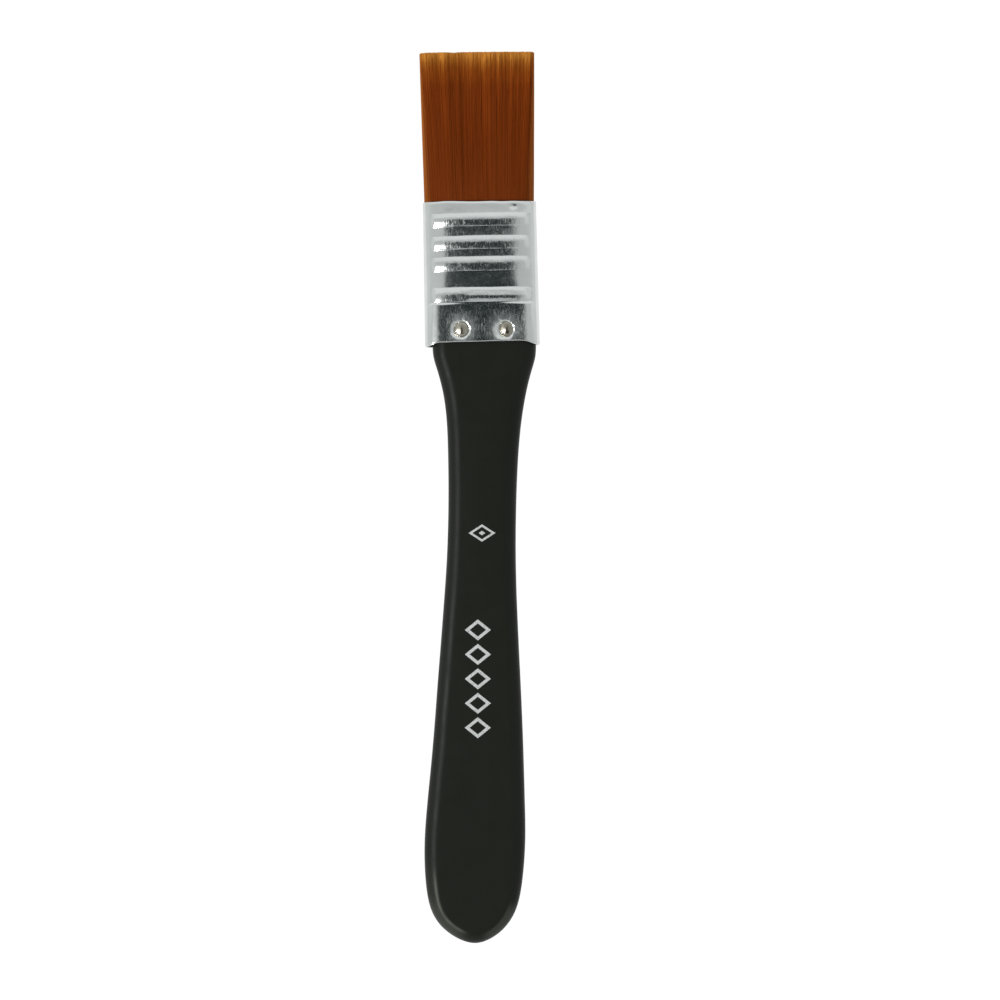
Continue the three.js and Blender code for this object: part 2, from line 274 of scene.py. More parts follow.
def plated(name, base, dark, rough, spangle):
    n = Nodes(name)
    at = n.coords()
    drawn = n.noise(n.coords((1, 0.22, 1)), 3400, 2.0, 0.6)        # die marks along the tube
    fleck = n.cells(n.coords((1, 0.6, 1)), 1900)
    spang = n.noise(at, 2300, 2.0, 0.6)
    broad = n.noise(at, 620, 2.0, 0.5)
    cloud = n.noise(at, 160, 3.0, 0.55)
    rub = n.remap(n.noise(at, 700, 3.0, 0.6), 0.40, 0.66, 0.55, 1.25)
    hair = n.cells(n.coords((0.12, 1, 1), (0, 0, 0.5)), 900)
    scratch = n.remap(hair, 0.0, 0.05, 1.0, 0.0)
    worked = n.attr("worked")                                      # where the tool pressed the sheet
    scuff = n.remap(n.noise(n.coords((1, 0.26, 1)), 3300, 3.0, 0.62), 0.46, 0.74, 0.0, 1.0)
    speck = n.remap(n.noise(n.coords((1, 0.7, 1)), 4700, 2.0, 0.6), 0.56, 0.76, 0.0, 1.0)
    matte = n.math("MAXIMUM", n.math("MULTIPLY", scuff, 0.85), speck)
    matte = n.math("MULTIPLY", matte, n.math("MULTIPLY", rub, n.math("MINIMUM", worked, 0.85)))
    matte = n.math("MULTIPLY", matte, n.remap(worked, 1.0, 1.6, 1.0, 0.45))
    fine = n.math("ADD", n.math("MULTIPLY", drawn, 0.9), n.math("MULTIPLY", spang, 0.8))
    fine = n.math("ADD", fine, n.math("MULTIPLY", fleck, 0.5))
    fine = n.math("MULTIPLY", fine, n.math("MULTIPLY", rub, n.math("MINIMUM", n.remap(worked, 0, 1, 0.06, 1.0), 1.0)))
    height = n.math("ADD", fine, n.math("MULTIPLY", broad, 0.25))
    height = n.math("SUBTRACT", height, n.math("MULTIPLY", scratch, 0.10))
    colour = n.mix(n.remap(cloud, 0.35, 0.65, 0, 1), base, dark)
    r = n.remap(n.noise(at, 900, 3.0, 0.6), 0.3, 0.7, rough * 0.92, rough * 1.12)
    r = n.math("ADD", r, n.math("MULTIPLY", matte, 0.28))
    r = n.math("ADD", r, n.math("MULTIPLY", n.math("MAXIMUM", n.math("SUBTRACT", worked, 0.9), 0.0), 0.19))
    return n.set(Base_Color=colour, Metallic=1.0, Roughness=r,
                 Normal=n.bump(height, spangle))


def dull_and_shaded_inside():
    n = Nodes("ferrule_inside")
    at = n.coords((1, 0.3, 1))
    stain = n.noise(at, 900, 4.0, 0.6)
    # the inner skin is dull metal, and its colour is kept dark as painted shade, so the ferrule's inside reads
    # shadowed at its ends
    colour = n.mix(n.remap(stain, 0.35, 0.65, 0, 1), (0.045, 0.044, 0.040), (0.10, 0.10, 0.095))
    rough = n.remap(stain, 0.3, 0.7, 0.5, 0.7)
    return n.set(Base_Color=colour, Metallic=0.8, Roughness=rough, Normal=n.bump(stain, 0.00002))


def filament(name, deep=False):
    n = Nodes(name)
    u = n.attr("along")
    rnd = n.attr("strand")
    clump = n.attr("clump")
    edge = n.attr("edge")
    shift = n.math("ADD", u, n.math("MULTIPLY", n.math("SUBTRACT", rnd, 0.5), 0.05))
    shift = n.math("ADD", shift, n.math("MULTIPLY", clump, 0.025))
    base = n.ramp(shift, [
        (0.0, (0.1500, 0.0285, 0.0034)),
        (0.45, (0.1620, 0.0290, 0.0028)),
        (0.77, (0.1810, 0.0335, 0.0032)),
        (0.886, (0.2500, 0.0570, 0.0054)),
        (0.945, (0.3900, 0.1240, 0.0160)),
        (0.985, (0.6200, 0.2550, 0.0400)),
    ])
    dark = n.node("HueSaturation")
    n.put(dark.inputs["Color"], base)
    far = n.math("MULTIPLY", n.remap(u, 0.05, 0.7, 0.50, 2.5), n.remap(u, 0.78, 0.95, 1.0, 0.66))                          # the tone varies less near the ferrule
    vary = n.math("SUBTRACT", n.math("MULTIPLY", n.remap(rnd, 0, 1, 0.93, 1.07), n.remap(clump, -1, 1, 0.88, 1.12)), 1.0)
    shade = n.remap(u, 0.010, 0.023, 0.35, 1.0)                     # in the ferrule's shade
    n.put(dark.inputs["Value"], n.math("MULTIPLY", shade, n.math("ADD", 1.0, n.math("MULTIPLY", vary, far))))
    # painted light: strands at the tuft's sides are mixed toward a light golden colour, standing in for light shining
    # through the thin edges of the tuft
    col = n.mix(n.math("MULTIPLY", edge, n.remap(u, 0.0, 0.7, 0.60, 0.84)), dark.outputs[0], (0.410, 0.132, 0.0260))
    if deep:
        # painted shade: the core, seen only between the outer strands, is tinted darker and more saturated
        col = n.mix(0.25, col, (0.1302, 0.0217, 0.0012))
    fine = n.noise(n.coords((1, 0.1, 1)), 5000, 2.0, 0.5)
    rough = n.remap(fine, 0.3, 0.7, 0.42, 0.55)
    return n.set(Base_Color=col, Roughness=rough, Specular_IOR_Level=0.03,
                 Normal=n.bump(fine, 0.00001))


def raw_wood():
    n = Nodes("raw_softwood")
    g = n.noise(n.coords((1, 0.08, 1)), 900, 4.0, 0.6)
    col = n.mix(n.remap(g, 0.3, 0.7, 0, 1), (0.42, 0.28, 0.15), (0.62, 0.45, 0.27))
    return n.set(Base_Color=col, Roughness=0.75, Normal=n.bump(g, 0.00005))


def resin():
    n = Nodes("amber_resin")
    g = n.noise(n.coords(), 400, 3.0, 0.5)
    col = n.mix(n.remap(g, 0.3, 0.7, 0, 1), (0.26, 0.13, 0.03), (0.36, 0.20, 0.05))
    rough = n.remap(g, 0.3, 0.7, 0.18, 0.3)
    return n.set(Base_Color=col, Roughness=rough, Normal=n.bump(g, 0.00002))


def silver_print():
    n = Nodes("silver_print")
    at = n.coords()
    wear_and_painted_highlight = n.remap(n.noise(at, 2600, 4.0, 0.65), 0.30, 0.42, 0.0, 1.0)
    tone = n.noise(at, 1500, 3.0, 0.6)
    col = n.mix(n.remap(tone, 0.3, 0.7, 0, 1), (0.43, 0.44, 0.43), (0.58, 0.59, 0.58))
    col = n.mix(wear_and_painted_highlight, (0.10, 0.10, 0.095), col)
    return n.set(Base_Color=col, Metallic=0.15, Roughness=0.55,
                 Normal=n.bump(tone, 0.00001))


LACQUER = lacquer()
PLATE = plated("nickel_plate", (0.69, 0.71, 0.705), (0.65, 0.67, 0.665), 0.145, 0.000014)
INSIDE = dull_and_shaded_inside()
NAIL = plated("nail_plate", (0.42, 0.40, 0.34), (0.28, 0.255, 0.205), 0.20, 0.000008)
FILAMENT = filament("nylon_filament")
DEEP = filament("nylon_filament_deep", deep=True)
WOOD = raw_wood()
RESIN = resin()
PRINT = silver_print()

# ------------------------------------------------------------------- ferrule

W_HANDLE, W_MOUTH = 12.66, 12.46
T_HANDLE, T_MOUTH = 4.2, 3.6
WALL = 0.4
BEADS = [(11.2, 1.58), (17.8, 1.64), (22.5, 1.52), (27.45, 1.48)]
SHAPED = [(11.00, 1.66), (17.78, 1.60), (22.45, 1.50), (27.42, 1.46)]      # as pressed
NAILS = {
    "nail_front_left": (-4.46, 3.56, 1),
    "nail_front_right": (5.41, 3.45, 1),
    "nail_back_left": (-4.9, 3.5, -1),
    "nail_back_right": (4.9, 3.5, -1),
}
DIMPLE = 0.5


def half_width(y):
    return W_HANDLE + (W_MOUTH - W_HANDLE) * np.clip(y / MOUTH, 0, 1)


def half_depth(y):
    return T_HANDLE + (T_MOUTH - T_HANDLE) * np.clip((y - 9) / (MOUTH - 9), 0, 1)


def exponent(y):
    return np.interp(y, [0, 9.0, 9.4, 12.5, 17, MOUTH], [4.15, 4.05, 3.10, 2.62, 2.36, 2.3])


def face_height(x, y):
    n = exponent(y)
    return half_depth(y) * (1 - np.abs(x / half_width(y)) ** n) ** (1 / n)


def bead_height(i, x):
    return 0.28 + 0.012 * noise2(x * 0.5, i * 7.3, 13)


def rounded(v, soft):
    """v where it is above zero, easing into nothing at its foot."""
    return 0.5 * (v + np.sqrt(v * v + soft)) - 0.06 * np.sqrt(soft)


def bead(i, c, half, x, y):
    """Height of bead i, which is centred on c: a round arch, but the first, by the handle, is a steep roof."""
    v = (y - c) / half
    high = bead_height(i, x)
    arch = high * rounded(1 - v * v, 0.004 + 0.012 * smooth(0.0, 0.6, v))
    if i:
        return arch
    u = y - c + 1.62                                      # from the foot by the handle
    t = u - 0.70
    q = np.clip(x, -11.0, 11.0)
    gentle = np.clip(0.177 - (face_height(q, 9.6) - face_height(q, 12.4)) / 2.8, 0.03, 0.2)
    t1 = (0.37 + gentle) / 0.578
    h1 = 0.259 + 0.37 * t1 - 0.289 * t1 * t1
    t2 = (0.46 * 2.53 - h1 - gentle * t1) / (0.46 - gentle)
    roof = np.where(t < 0, 0.37 * u, 0.259 + 0.37 * t - 0.289 * t * t)
    roof = np.where(t > t1, h1 - gentle * (t - t1), roof)
    roof = np.where(t > t2, 0.46 * (2.53 - t), roof)
    roof = rounded(roof, 0.0006)
    left = 1 - smooth(-4.4, -2.2, x)
    return left * arch + (1 - left) * roof


def relief(x, y, side):
    """How far the sheet stands off its plain section, at a face of sign side."""
    h = np.zeros(np.broadcast(x, y).shape)
    wob = 0.05 * noise2(x * 0.45 + 3, y * 0.6, 11) + 0.02 * noise2(x * 1.6, y * 0.9 + 7, 12)
    across = (1 - smooth(9.5, 10.9, x)) * (1 - smooth(10.0, 10.75, -x))
    for i, (c, half) in enumerate(SHAPED):
        away = smooth(1.3, 2.1, np.abs(y - c - wob) / half)
        h = h + np.where(away < 1, bead(i, c + wob, half, x, y) * (1 - away), 0)
    h = h * across
    for bx, by, bs in NAILS.values():
        ox, oy = x - bx, y - by
        ang = np.arctan2(oy, ox)
        wide = 0.34 if bx > 0 else 0.14
        south = oy + 0.10
        south = np.where(south < 0, south * (0.80 if bx > 0 else 0.92), south)
        r = np.hypot(ox + wide, south) * (1 + 0.05 * noise2(ox * 1.4 + bx, oy * 1.4, 14))
        far = smooth(0.6, -1.4, ox + 0.5 * oy)            # wide and gentle on the left, short on the right
        reach = 2.20 + far * (1.15 if bx > 0 else 0.72)
        bowl = -(DIMPLE + 0.10) * (1 - np.clip((r - 1.35) / (reach - 1.35), 0, 1)) ** 2
        rr = np.hypot(ox, oy)
        ripple = 0.030 * noise2(ang * 5.5 + 20 + bx, rr * 0.8, 15) * np.exp(-np.clip(rr - 2.0, 0, 9) / 0.7)
        h = h + np.where(side * bs > 0, bowl + ripple * smooth(1.3, 1.7, rr), 0)
    h = h + 0.012 * noise2(x * 0.30 + 1, y * 0.42 + 2, 16) + 0.004 * noise2(x * 0.9, y * 1.2, 17)
    t = np.clip(y - 28.85, 0, None)
    h = h - (0.118 + 0.010 * noise2(x * 0.22 + 5, y * 0.25, 18) - 0.02 * smooth(-2.0, -9.0, x)) * t
    h = h - 0.012 * smooth(0.2, 1.6, t) * noise2(x * 0.42 + y * 0.5, y * 0.55, 22)
    h = h - 0.22 * np.clip(y - (MOUTH - 0.40), 0, None)
    dent = -0.10 * np.exp(-(((x - 7.45) / 0.75) ** 2 + ((y - 30.15) / 0.34) ** 2))
    h = h + np.where(side > 0, dent, 0)
    return h


def pressed(x, y):
    """1 where the sheet was worked: on the beads and about the nails."""
    w = 0.30 + 0.50 * (1 - smooth(8.5, 9.6, y)) + 0.34 * smooth(18.8, 19.6, y)
    for c, half in SHAPED:
        w = np.maximum(w, (1 - smooth(0.80, 1.0, np.abs(y - c) / half)))
    near = [0.0, 0.0]
    for bx, by, bs in NAILS.values():
        r = np.hypot(x - bx, y - by)
        near[bx > 0] = np.maximum(near[bx > 0], 0.70 * (1 - smooth(2.2, 4.7, r)) + 0.19 * (1 - smooth(3.5, 6.6, r)))
    w = w + near[0] + near[1]
    w = w * (1 - 0.75 * smooth(29.0, 29.8, y))
    left = np.where(y < 9.5, smooth(-5.8, -10.6, x), smooth(-7.4, -9.0, x))
    return w * (1 - 0.90 * smooth(8.8, 10.6, x)) * (1 - 0.94 * left)


def ferrule():
    nf, ns = 150, 26
    xi_s = 0.93
    f = np.linspace(-1, 1, nf)
    s = np.linspace(1, -1, ns + 2)[1:-1]
    # columns: top face left to right, right side down, back face right to left, left side up
    feet = [c + k * half for c, half in SHAPED for k in (-1.0, 1.0)]
    ys = np.sort(np.concatenate([np.arange(0.0, MOUTH, 0.195)] + [f_ + np.array([-0.21, -0.14, -0.07, 0.0, 0.07, 0.14, 0.21]) for f_ in feet]))
    ys = ys[np.r_[True, np.diff(ys) > 0.025]]
    ends = [(0.0, 0.20), (0.05, 0.08), (0.14, 0.012)]         # rounded edge: (in from rim, inset)

    def ring(y, inset):
        sharp, w, t = exponent(y), half_width(y) - inset, half_depth(y) - inset
        n = np.interp(y, [0, 4.0, 14.0, 18.0, MOUTH], [4.15, 3.90, 2.58, 2.36, 2.3])      # the corners, gradually
        zs = (1 - xi_s ** n) ** (1 / n)
        x_top = f * xi_s * w
        corner = smooth(0.84, 0.93, np.abs(f * xi_s))
        z_top = t * ((1 - corner) * (1 - np.abs(f * xi_s) ** sharp) ** (1 / sharp) + corner * (1 - np.abs(f * xi_s) ** n) ** (1 / n))
        z_side = s * zs * t
        x_side = w * (1 - np.abs(s * zs) ** n) ** (1 / n)
        x = np.concatenate([x_top, x_side, -x_top, -x_side])
        z = np.concatenate([z_top, z_side, -z_top, -z_side])
        return x, z

    def level(y, inset, reach):
        x, z = ring(y, inset)
        face = np.abs(z) > 1e-6
        h = relief(x, np.full_like(x, y), np.sign(z))
        fade = smooth(0.0, 0.35, np.abs(z) / half_depth(y))
        seam = -0.10 * np.exp(-((z + 1.3) / 0.10) ** 2) * (x > 0) * (np.abs(x) > 11.0)
        z = z + np.sign(z) * h * fade * reach
        x = x + np.sign(x) * (1 - fade) * (0.012 * noise2(y * 0.5, z * 0.4 + 4, 19) + seam) * reach
        # the handle end is cut back across the faces, and both ends waver
        yy = np.full_like(x, y)
        cut = (1 - smooth(0.72, 0.95, np.abs(x) / half_width(y)))
        cut = np.where(z < 0, cut * (1 - 0.9 * smooth(-10.4, -11.2, x)) * 0.8, cut)
        low = 0.75 * cut + 0.05 * noise2(x * 0.5, np.sign(z) * 3.0, 20)
        yy = yy + low * (1 - smooth(0, 3.0, y))
        high = 0.05 * noise2(x * 0.4 + 2, np.sign(z) * 5.0, 21) + 0.22 + 0.22 * smooth(-1.0, -8.0, x) - 0.10 * smooth(-11.0, -12.4, x)
        yy = yy + high * smooth(MOUTH - 2.5, MOUTH, y)
        return np.stack([x + 0.05 * (1 - y / MOUTH), yy, z], -1)

    rows = []
    for dy, ins in ends:
        rows.append(level(0 + dy, ins, 1.0))
    for y in ys:
        if 0.2 < y < MOUTH - 0.2:
            rows.append(level(y, 0.0, 1.0))
    for dy, ins in reversed(ends):
        rows.append(level(MOUTH - dy, ins, 1.0))
    inner = np.concatenate([[MOUTH - 0.05, MOUTH - 0.2], np.linspace(MOUTH - 0.6, 0.6, 34), [0.2, 0.05]])
    for y in inner:
        ins = WALL - (0.1 if (y < 0.1 or y > MOUTH - 0.1) else 0.0)
        rows.append(level(y, ins, 0.9))
    cols = rows[0].shape[0]
    p = np.concatenate(rows)
    quads = grid_quads(len(rows), cols, True)
    last = (len(rows) - 1) * cols
    j = np.arange(cols)
    k = (j + 1) % cols
    close = np.stack([last + j, last + k, k, j], -1)
    ob = make_mesh("ferrule_formed", head(p), [quads, close], PLATE)
    attribute(ob, "worked", pressed(p[:, 0], p[:, 1]))
    ob.data.materials.append(INSIDE)
    index = np.zeros(len(ob.data.polygons), np.int32)
    index[(len(rows) - len(inner) + 1) * cols:(len(rows) - 2) * cols] = 1
    ob.data.polygons.foreach_set("material_index", index)
    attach(ob, "brush")
    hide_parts("ferrule")
    return ob


def nail(name, x, y, facing, seed):
    """A domed head on a shank, turned about the nail's own axis."""
    r_head, height = 1.58, 0.74
    seat = -DIMPLE + 0.08
    prof = [(0.0, seat - 2.35), (0.12, seat - 2.15), (0.45, seat - 1.5), (0.45, seat - 0.15), (0.52, seat - 0.10),
            (r_head - 0.10, seat - 0.10), (r_head - 0.01, seat - 0.06), (r_head, seat)]
    for a in np.linspace(0.97, 0.0, 30):
        prof.append((a * r_head, seat + 0.12 + 1e-3))
    n = 72
    ang = np.linspace(0, 2 * math.pi, n, endpoint=False)

    def dome(u, v):
        """A blunt, hammered point that is longer along the brush."""
        a = np.hypot(u, v) / r_head
        e = 0.42
        z = 0.40 * (np.sqrt(u * u + (0.62 * v) ** 2 + e * e) - e) + 0.22 * np.clip((a - 0.70) / 0.30, 0, 1.05) ** 2.2
        lump = 0.020 * noise2(u * 1.3 + seed, v * 1.3, 51) + 0.010 * noise2(u * 3.1, v * 3.1 + seed, 52)
        return seat + height - z + lump

    rows, top = [], face_height(x, y)
    for i, (r, z) in enumerate(prof[1:-1]):
        rr = r * (1 + 0.015 * np.sin(3 * ang + x) + 0.010 * np.sin(5 * ang + y))
        px_, py_ = rr * np.cos(ang), rr * np.sin(ang)
        zz = np.full(n, z) if i < 7 else dome(px_, py_)
        rows.append(np.stack([px_, py_, zz], -1))
    body = np.concatenate(rows)
    first, last = np.array([[0, 0, prof[0][1]]]), np.array([[0, 0, float(dome(np.zeros(1), np.zeros(1))[0])]])
    p = np.concatenate([body, first, last])
    quads = grid_quads(len(rows), n, True)
    j = np.arange(n)
    k = (j + 1) % n
    b0, b1 = len(body), len(body) + 1
    base = (len(rows) - 1) * n
    tris = np.concatenate([np.stack([np.full(n, b0), k, j], -1),
                           np.stack([base + j, base + k, np.full(n, b1)], -1)])
    p[:, 2] += p[:, 0] * 0.03
    if facing < 0:
        p = p * np.array([1, -1, -1.0])
    p = p + np.array([x, y, facing * top])
    ob = make_mesh(name + "_domed", head(p), [quads, tris], NAIL)
    attribute(ob, "worked", np.ones(len(p)))
    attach(ob, "brush")
    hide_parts(name)
    return ob


# -------------------------------------------------------------------- handle

H_HALF, ROUND = 3.4, 3.0
TENON, TENON_HW, TENON_OFF = 8.8, 11.3, 0.47
OUTLINE = [
    (2.2, 11.29, 0.47), (3.2, 11.0, 0.47), (4.5, 10.55, 0.48), (5.8, 10.14, 0.49), (8.5, 9.43, 0.51),
    (11.1, 8.88, 0.51), (13.8, 8.45, 0.47), (16.4, 8.14, 0.4), (19.0, 7.91, 0.33), (21.7, 7.75, 0.26),
    (24.3, 7.62, 0.19), (29.6, 7.45, 0.1), (34.9, 7.37, 0.01), (40.1, 7.37, -0.08), (45.4, 7.46, -0.18),
    (50.7, 7.65, -0.29), (56.0, 7.92, -0.4), (61.3, 8.23, -0.49), (66.5, 8.55, -0.57), (71.8, 8.89, -0.65),
    (77.1, 9.22, -0.73), (82.4, 9.53, -0.81), (87.7, 9.85, -0.93), (93.0, 10.17, -1.09), (98.2, 10.5, -1.28),
    (103.5, 10.81, -1.45), (107.5, 10.97, -1.57), (110.2, 10.97, -1.65), (112.8, 10.9, -1.72),
    (115.4, 10.74, -1.78), (118.0, 10.5, -1.83), (120.6, 10.14, -1.87), (122.9, 9.62, -1.91),
    (124.8, 8.9, -1.93), (126.4, 7.97, -1.93), (127.8, 6.82, -1.89), (129.0, 5.48, -1.81),
    (130.0, 3.95, -1.73), (130.8, 2.3, -1.66),
]
TIP = (131.33, -1.6)


def catmull(points, per):
    p = np.asarray(points, float)
    q = np.concatenate([[2 * p[0] - p[1]], p, [2 * p[-1] - p[-2]]])
    out = []
    for i in range(1, len(q) - 2):
        t = np.linspace(0, 1, per, endpoint=False)[:, None]
        a, b, c, d = q[i - 1], q[i], q[i + 1], q[i + 2]
        out.append(0.5 * (2 * b + (c - a) * t + (2 * a - 5 * b + 4 * c - d) * t ** 2 + (3 * b - a - 3 * c + d) * t ** 3))
    out.append(p[-1:])
    return np.concatenate(out)


def resample(p, step):
    d = np.r_[0, np.cumsum(np.hypot(*np.diff(p, axis=0).T))]
    n = max(8, int(round(d[-1] / step)))
    s = np.linspace(0, d[-1], n + 1)
    return np.stack([np.interp(s, d, p[:, 0]), np.interp(s, d, p[:, 1])], -1)


def outline():
    lean = math.tan(LEAN)
    left = [(c - w, -d) for d, w, c in OUTLINE]
    right = [(c + w, -d) for d, w, c in OUTLINE][::-1]
    sides = catmull(left + [(TIP[1], -TIP[0])] + right, 12)
    r = 3.2
    top_x = TENON_OFF - lean * TENON
    tl = np.array([top_x - TENON_HW, TENON - lean * TENON_HW])
    tr = np.array([top_x + TENON_HW, TENON + lean * TENON_HW])

    def corner(c, a, b):
        a, b = np.asarray(a, float), np.asarray(b, float)
        ua, ub = (a - c) / np.linalg.norm(a - c), (b - c) / np.linalg.norm(b - c)
        t = np.linspace(0, 1, 14)[:, None]
        return c + ua * r * (1 - t) ** 2 + ub * r * t ** 2       # a quadratic corner
    loop = np.concatenate([corner(tl, tr, left[0]), sides, corner(tr, right[-1], tl)])
    loop = np.concatenate([loop, loop[:1]])
    loop = resample(loop, 0.42)[:-1]
    ker = np.exp(-0.5 * (np.arange(-8, 9) / 3.0) ** 2)
    ker /= ker.sum()
    pad = np.concatenate([loop[-8:], loop, loop[:8]])
    return np.stack([np.convolve(pad[:, i], ker, "valid") for i in (0, 1)], -1)


def handle():
    edge = outline()
    n = len(edge)
    tan = np.roll(edge, -1, 0) - np.roll(edge, 1, 0)
    tan /= np.linalg.norm(tan, axis=1)[:, None]
    inward = np.stack([-tan[:, 1], tan[:, 0]], -1)              # the loop runs anticlockwise
    centre = edge.mean(0)
    if ((centre - edge) * inward).sum(1).mean() < 0:
        inward = -inward
    flat = H_HALF - ROUND
    rings = []
    steps = 20
    for k in range(steps + 1):
        a = math.pi / 2 * k / steps
        rings.append((ROUND * (1 - math.cos(a)), flat + ROUND * math.sin(a)))
    widen = 0.09                                               # the lacquer's own thickness
    full = [(d, -z) for d, z in reversed(rings)] + rings
    rows = []

    def ring(d, z):
        wob = 0.035 * noise2(edge[:, 0] * 0.10 + 3, edge[:, 1] * 0.16, 31) * smooth(0, 0.6, d) * (1 - smooth(ROUND - 0.3, ROUND, d))
        p = edge + inward * (d + wob - widen * (1 - d / ROUND))[:, None]
        return np.concatenate([p, np.full((n, 1), z)], 1)

    def crowned(outer, sign):
        """Rings from the flat's border in to a narrow strip on the middle line."""
        y = np.clip(outer[:, 1], -TIP[0] + 9.5, TENON - 7.5)
        mid = np.interp(-y, [d for d, w, c in OUTLINE], [c for d, w, c in OUTLINE])
        spine = np.stack([mid, y], -1)
        out = []
        for s_ in (0.06, 0.14, 0.25, 0.38, 0.52, 0.66, 0.78, 0.88):
            q = outer[:, :2] + (spine - outer[:, :2]) * s_
            lift = 0.10 * (1 - (1 - s_) ** 2) + 0.006 * s_ * noise2(q[:, 0] * 0.2, q[:, 1] * 0.07, 32)
            out.append(np.concatenate([q, (sign * (H_HALF + lift))[:, None]], 1))
        return out

    mid_rows = [ring(d, z) for d, z in full]
    rows = crowned(mid_rows[0], -1)[::-1] + mid_rows + crowned(mid_rows[-1], 1)
    p = np.concatenate(rows)
    quads = grid_quads(len(rows), n, True)
    caps = []
    for base, flip in ((0, True), ((len(rows) - 1) * n, False)):
        pts = [Vector((q[0], q[1], 0)) for q in p[base:base + n]]
        tri = np.array(geometry.tessellate_polygon([pts]))
        a, b, c = (p[base + tri[:, i], :2] for i in range(3))
        area = (b - a)[:, 0] * (c - a)[:, 1] - (b - a)[:, 1] * (c - a)[:, 0]
        wrong = (area < 0) != flip
        tri[wrong] = tri[wrong][:, ::-1]
        caps.append(base + tri)
    ob = make_mesh("handle_lacquered", board(p), [quads, np.concatenate(caps)], LACQUER)
    # painted highlight on the butt's rounded edge: a thin streak along the left bevel and a broad band where the bevel
    # turns toward the butt's end, both stored for the lacquer to lighten its colour
    south, left = np.clip(inward[:, 1], 0, 1), inward[:, 0] > 0
    butt = 1 - smooth(-118.0, -110.0, edge[:, 1])
    painted_streak = np.where(left, smooth(0.0, 0.10, south) * (1 - smooth(0.86, 0.975, south)), 0) * butt
    painted_band = np.where(left, 0.07 + 0.30 * smooth(0.08, 0.45, south), 0.34 * smooth(0.22, 0.42, south))
    painted_band = painted_band * butt * (1 - 0.85 * smooth(0.84, 0.975, south))
    painted_streak = painted_streak * (0.85 + 0.25 * noise2(edge[:, 0] * 0.7, edge[:, 1] * 0.3, 33))
    wear_and_painted_highlight = [painted_streak * np.exp(-((d - 2.10) / 0.26) ** 2) + painted_band * (1 - smooth(1.55, 2.15, d)) for d, z in full]
    none = [np.zeros(n)] * 8
    attribute(ob, "painted_highlight", np.concatenate(none + wear_and_painted_highlight + none))
    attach(ob, "brush")
    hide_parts("handle")
    return ob


def plate(name, loops, thickness=0.03, z0=H_HALF + 0.085):
    """Thin printed shapes on the handle's face: closed outlines, each with an optional hole."""
    verts, faces, base = [], [], 0
    for outer, inner in loops:
        outer = np.asarray(outer, float)
        k = len(outer)
        if inner is None:
            pts = [Vector((*q, 0)) for q in outer]
            tri = np.array(geometry.tessellate_polygon([pts]))
            all2 = outer
            walls = [(0, k)]
        else:
            inner = np.asarray(inner, float)
            tri = np.array(geometry.tessellate_polygon([[Vector((*q, 0)) for q in outer],
                                                        [Vector((*q, 0)) for q in inner[::-1]]]))
            all2 = np.concatenate([outer, inner[::-1]])
            walls = [(0, k), (k, k + len(inner))]
        a, b, c = (all2[tri[:, i]] for i in range(3))
        area = (b - a)[:, 0] * (c - a)[:, 1] - (b - a)[:, 1] * (c - a)[:, 0]
        tri[area < 0] = tri[area < 0][:, ::-1]
        m = len(all2)
        top = np.concatenate([all2, np.full((m, 1), z0 + thickness)], 1)
        low = np.concatenate([all2, np.full((m, 1), z0)], 1)
        verts += [top, low]
        faces.append(base + tri)
        faces.append(base + m + tri[:, ::-1])
        for s, e in walls:
            j = np.arange(s, e)
            q = np.r_[j[1:], s]
            faces.append(base + np.stack([j, j + m, q + m], -1))
            faces.append(base + np.stack([j, q + m, q], -1))
        base += 2 * m
    ob = make_mesh(name, board(np.concatenate(verts)), [np.concatenate(faces)], PRINT, shade=False)
    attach(ob, "brush")
    return ob


def lozenge(cx, cy, hx, hy):
    return [(cx - hx, cy), (cx, cy - hy), (cx + hx, cy), (cx, cy + hy)]


def marks():
    # a lozenge and its seed at the neck, then a chain of five
    cx, cy = -0.05, -41.1
    plate("handle_mark_neck", [(lozenge(cx, cy, 2.95, 1.9), lozenge(cx, cy, 2.12, 1.365)),
                               (lozenge(cx, cy, 0.75, 0.48), None)])
    loops = []
    for i in range(5):
        y = -62.3 - i * 5.35
        x = -0.95 - 0.004 * i
        loops.append((lozenge(x, y, 2.85, 2.3), lozenge(x, y, 1.80, 1.45)))
    plate("handle_mark_row", loops)


# ---------------------------------------------------------------------- tuft

TUFT = 33.25
TW0, TW1 = 12.00, 12.62
TT0, TT1 = 2.72, 1.60


def tuft_centre(y):
    return 0.0045 * (y - MOUTH) - 0.05


